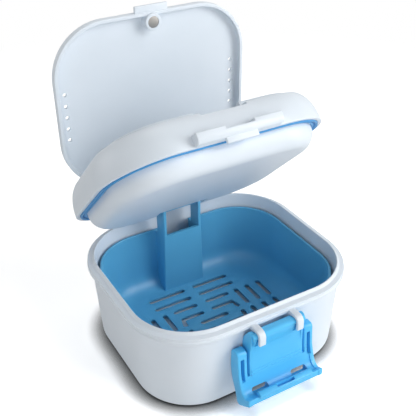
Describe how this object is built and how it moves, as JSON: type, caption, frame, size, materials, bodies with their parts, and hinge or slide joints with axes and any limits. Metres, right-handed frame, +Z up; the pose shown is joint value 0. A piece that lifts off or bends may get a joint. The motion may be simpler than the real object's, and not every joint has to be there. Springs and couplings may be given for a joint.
{
  "type": "denture case",
  "caption": "Rounded rectangular bath case with a lift-out strainer basket, hinged domed lid with a tray on top, thin vented cover and a swinging front snap latch.",
  "frame": {"origin": "middle of the cup's flat underside", "axes": "+Z up, +X to the right along the latch side, -Y out of the latch side, +Y towards the lid hinge"},
  "size_m": [0.0992, 0.1097, 0.1344],
  "materials": {
    "case_plastic": "satin, pale cool white",
    "basket_plastic": "satin, mid blue",
    "latch_plastic": "glossy, sky blue",
    "seal_rubber": "matte, blue",
    "pin_steel": "plain bright steel"
  },
  "bodies": {
    "base": {"base_cup": "case_plastic", "strainer_basket": "basket_plastic", "lid_hinge_pin": "pin_steel"},
    "lid": {"lid_shell": "case_plastic", "lid_tray": "case_plastic", "lid_gasket": "seal_rubber", "catch_disc": "pin_steel", "cover_hinge_pin": "pin_steel"},
    "cover": {"vented_cover": "case_plastic", "cover_magnet": "pin_steel"},
    "latch": {"front_latch": "latch_plastic"}
  },
  "joints": [
    {"name": "lid_hinge", "type": "hinge", "parent": "base", "child": "lid", "pos_m": [0, 0.04758, 0.0412], "axis": [1, 0, 0], "range_deg": [-56.5, 43.5]},
    {"name": "cover_hinge", "type": "hinge", "parent": "lid", "child": "cover", "pos_m": [0, 0.04922, 0.05757], "axis": [1, 0, 0], "range_deg": [-60, 46.2]},
    {"name": "latch_hinge", "type": "hinge", "parent": "base", "child": "latch", "pos_m": [0, -0.0473, 0.035], "axis": [-1, 0, 0], "range_deg": [0, 181]}
  ]
}
